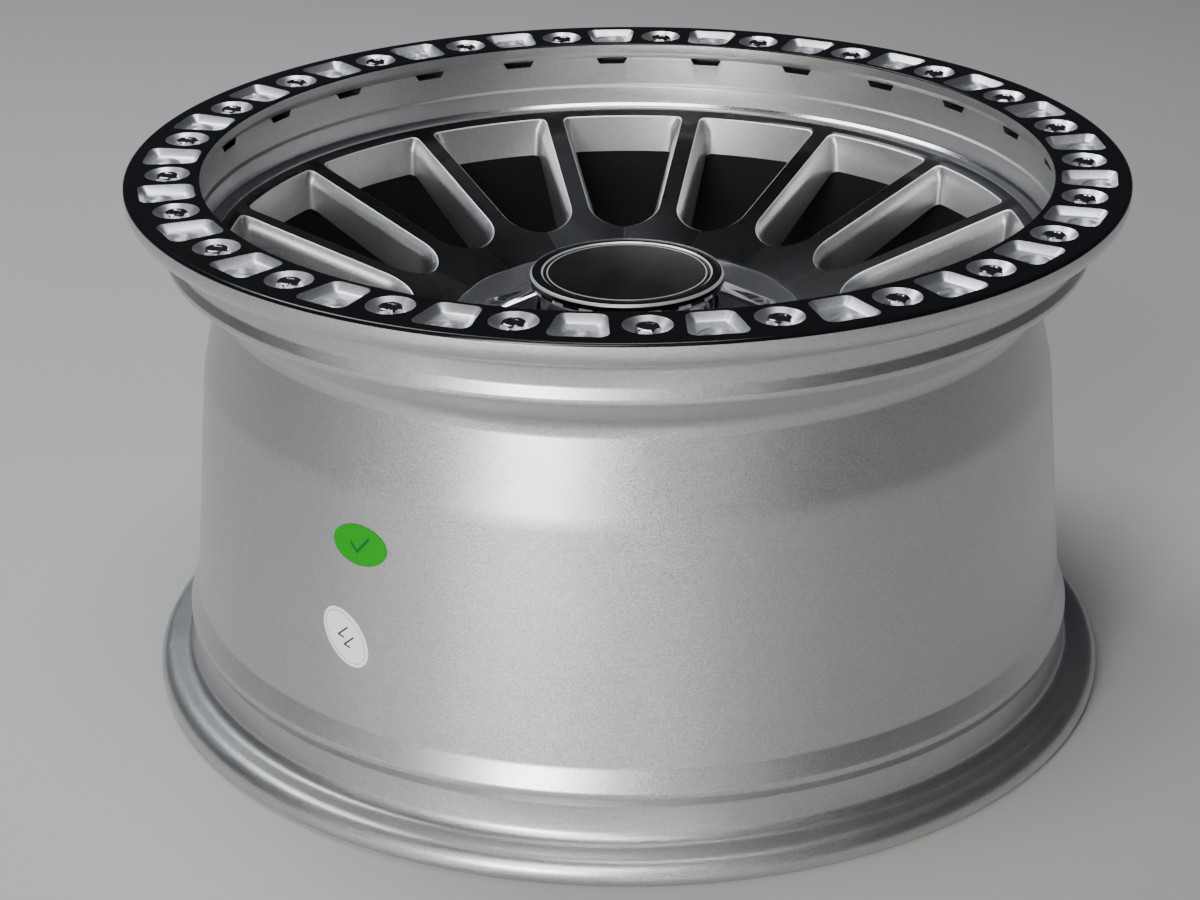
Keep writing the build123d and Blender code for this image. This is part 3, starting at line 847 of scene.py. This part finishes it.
def armRecessCutter():
    # Pointed recess down the arm with a round seat for the screw at its wide end.
    seat, middle, radius, tip = centreCap["screwSeat"], centreCap["postCircle"], 5.5, 50.0
    length, half, steps = 12.1, 5.17, 8
    outline = [Vector((middle + radius * math.cos(turn), radius * math.sin(turn)))
               for turn in (math.radians(-110 + 10 * step) for step in range(23))]
    outline += [Vector((tip + length * (1 - step / steps), half * (1 - step / steps)))
                for step in range(1, steps + 1)]
    outline += [Vector((tip + length * step / steps, -half * step / steps)) for step in range(1, steps)]
    floor = [max(seat, armTop(tip) - 0.9 - (point.x - tip) * 1.1) for point in outline]
    return sleeve([[Vector((point.x, point.y, height)) for point, height in zip(outline, floor)],
                   [Vector((point.x, point.y, armTop(point.x) + 0.2)) for point in outline],
                   [Vector((point.x, point.y, 200.0)) for point in outline]], paints=[0, 0])


def makeBase():
    foot, top, count = centreCap["skirtFoot"], centreCap["baseTop"], centreCap["arms"]
    start, middle, floor = centreCap["armFlat"], centreCap["postCircle"], casting["hubFloor"]
    shell = turnedShell([(0, 194.8, 0), (40.2, 194.8, 0.3), (40.2, top, 0.2), (start, top, 1.2), (50.0, foot, 0.8),
                         (47.0, foot, 0.5), (40.5, 187.4, 1.5), (0, 187.4, 0)], steps=120)
    post = sleeve([circleLoop(centreCap["postRadius"], height, middle) for height in (floor, 176.0)], paints=[0])
    hole = sleeve([circleLoop(centreCap["screwHole"], height, middle, 24) for height in (floor - 2.0, 180.0)],
                  paints=[0])
    for cutter, operation in ((armShell(), "UNION"), (post, "UNION"), (armRecessCutter(), "DIFFERENCE"),
                              (hole, "DIFFERENCE")):
        shell = cutAway(shell, ringOf(cutter, count), operation)
    return makePiece("capBase", shell, [darkChrome], ["cap_base"])


def repaint(nodeName, paint):
    # The frame's own mesh is shown, in a new material.
    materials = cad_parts[nodeName].data.materials
    materials.clear()
    materials.append(paint)


makeDisc()
makeBezel()
makeBase()
repaint("cap_screws", screwSteel)
print("stage: cap")

# Stickers.

stickers = {
    "oval": {"angle": 235.2, "level": 134.5, "halfWidth": 14.6, "halfHeight": 9.3, "lean": 0.0},
    "label": {"angle": 233.2, "level": 89.2, "halfWidth": 15.2, "halfHeight": 10.3, "lean": 135.0},
    "skin": 0.4,            # outer side of a sticker above the barrel
    "ink": 0.03,            # top of a printed line above the sticker
    "inkFoot": -0.02,
}


def wrapOnBarrel(shell, sticker):
    # x runs round the barrel, y up it and z out from the sticker's face.
    for vert in shell.verts:
        height = sticker["level"] + vert.co.y
        radius = barrelRadius(height) + stickers["skin"] + vert.co.z
        turn = math.radians(sticker["angle"]) + vert.co.x / radius
        vert.co = (radius * math.cos(turn), radius * math.sin(turn), height)
    return shell


def ovalLoop(sticker, inset, lift):
    lean = Matrix.Rotation(math.radians(sticker["lean"]), 3, "Z")
    wide, high = sticker["halfWidth"] - inset, sticker["halfHeight"] - inset
    turns = [math.tau * step / 96 for step in range(96)]
    return [lean @ Vector((wide * math.cos(turn), high * math.sin(turn), lift)) for turn in turns]


def labelShell(sticker):
    skin = stickers["skin"]
    loops = [ovalLoop(sticker, 0, 0.1 - skin), ovalLoop(sticker, 0, -0.05), ovalLoop(sticker, 0.1, 0)]
    loops += [ovalLoop(sticker, inset, 0) for inset in (2.0, 4.0, 6.0, 8.0, 9.5)]
    return wrapOnBarrel(sleeve(loops), sticker)


def lineShell(sticker, inset, width):
    # Thin printed line at an inset from the sticker's edge.
    low, top = stickers["inkFoot"], stickers["ink"]
    sides = [(inset, low), (inset, top), (inset + width, top), (inset + width, low), (inset, low)]
    return wrapOnBarrel(sleeve([ovalLoop(sticker, *side) for side in sides]), sticker)


def strokeShell(sticker, points, width):
    # Printed stroke through points, with square ends.
    shells = []
    for start, end in zip(points, points[1:]):
        along = (Vector(end) - Vector(start)).normalized() * width / 2
        side = Vector((-along.y, along.x))
        corners = [Vector(start) - along + side, Vector(end) + along + side, Vector(end) + along - side,
                   Vector(start) - along - side]
        shells.append(sleeve([[Vector((point.x, point.y, lift)) for point in corners]
                              for lift in (stickers["inkFoot"], stickers["ink"])]))
    whole = shells[0]
    for shell in shells[1:]:
        whole = cutAway(whole, shell, "UNION")
    return wrapOnBarrel(whole, sticker)


def makeStickers():
    oval, label = stickers["oval"], stickers["label"]
    repaint("oval_sticker", stickerGreen)
    makePiece("ovalTick", strokeShell(oval, [(-4.4, 0.2), (-1.2, -3.2), (4.8, 3.6)], 1.3), [stickerTick])
    makePiece("labelSticker", labelShell(label), [stickerWhite], ["round_sticker"])
    makePiece("labelLine", lineShell(label, 1.5, 0.4), [stickerLine])
    # Two plain figures one, printed across the label.
    figures = [strokeShell(label, points, 0.85) for points in ([(1.0, 4.7), (-3.9, 0.4), (-0.9, -0.3)],
                                                               [(4.6, 0.8), (-0.3, -3.5), (2.7, -4.2)])]
    makePiece("labelFigures", joined(*figures), [stickerInk])


makeStickers()
print("stage: stickers")

# Floor, light and camera.

studio = {
    "floorHalf": 12,
    "floorColour": (0.52, 0.52, 0.52, 1),
    "worldColour": (0.035, 0.037, 0.042, 1),
    "lights": [
        # name, place, target, width, height, watts, colour
        ("keyLeft", (-0.6, -2.25, 1.6), (-0.1, -0.1, 0.2), 1.2, 0.9, 30, (1.0, 0.985, 0.96)),
        ("frontLow", (-1.15, -2.8, 0.58), (0, 0, 0.15), 0.8, 0.7, 72, (1.0, 0.945, 0.86)),
        ("topSoft", (-0.8, 0.75, 1.8), (0, 0.05, 0.2), 1.0, 0.8, 20, (0.93, 0.97, 1.0)),
        ("overhead", (0.02, -0.15, 2.3), (0, 0.1, 0.2), 0.9, 0.6, 15, (0.96, 0.98, 1.0)),
    ],
}


def makeStage():
    floor = bmesh.new()
    bmesh.ops.create_grid(floor, x_segments=8, y_segments=8, size=studio["floorHalf"])
    mesh = bpy.data.meshes.new("studioFloor")
    floor.to_mesh(mesh)
    item = bpy.data.objects.new("studioFloor", mesh)
    bpy.context.scene.collection.objects.link(item)
    material, tree, shader = newMaterial("studioFloor", Roughness=0.75)
    cloud = addNode(tree, "ShaderNodeTexNoise", {"Vector": objectPoint(tree), "Scale": 3.0, "Detail": 3.0})
    colour = studio["floorColour"]
    darker = [value * 0.96 for value in colour[:3]] + [1]
    tree.links.new(addBlend(tree, cloud.outputs["Fac"], darker, colour), shader.inputs["Base Color"])
    mesh.materials.append(material)


def makeLights():
    world = bpy.data.worlds.new("studio")
    world.use_nodes = True
    world.node_tree.nodes["Background"].inputs[0].default_value = studio["worldColour"]
    bpy.context.scene.world = world
    for name, place, target, width, height, watts, colour in studio["lights"]:
        light = bpy.data.lights.new(name, "AREA")
        light.shape, light.size, light.size_y = "RECTANGLE", width, height
        light.energy, light.color = watts, colour
        item = bpy.data.objects.new(name, light)
        item.location = place
        item.rotation_euler = (Vector(target) - Vector(place)).to_track_quat("-Z", "Y").to_euler()
        bpy.context.scene.collection.objects.link(item)


def makeCamera():
    view = {"place": (-0.01354, -1.21025, 0.64535), "elevation": 24.148115, "roll": -0.409353, "lens": 80.2085}
    data = bpy.data.cameras.new("photoView")
    data.lens, data.sensor_width = view["lens"], 36.0
    data.clip_start, data.clip_end = 0.05, 60.0
    camera = bpy.data.objects.new("photoView", data)
    lean = Matrix.Rotation(math.radians(90 - view["elevation"]), 4, "X")
    roll = Matrix.Rotation(math.radians(view["roll"]), 4, "Z")
    camera.matrix_world = Matrix.Translation(view["place"]) @ lean @ roll
    bpy.context.scene.collection.objects.link(camera)
    bpy.context.scene.camera = camera


makeStage()
makeLights()
makeCamera()
print("stage: studio")
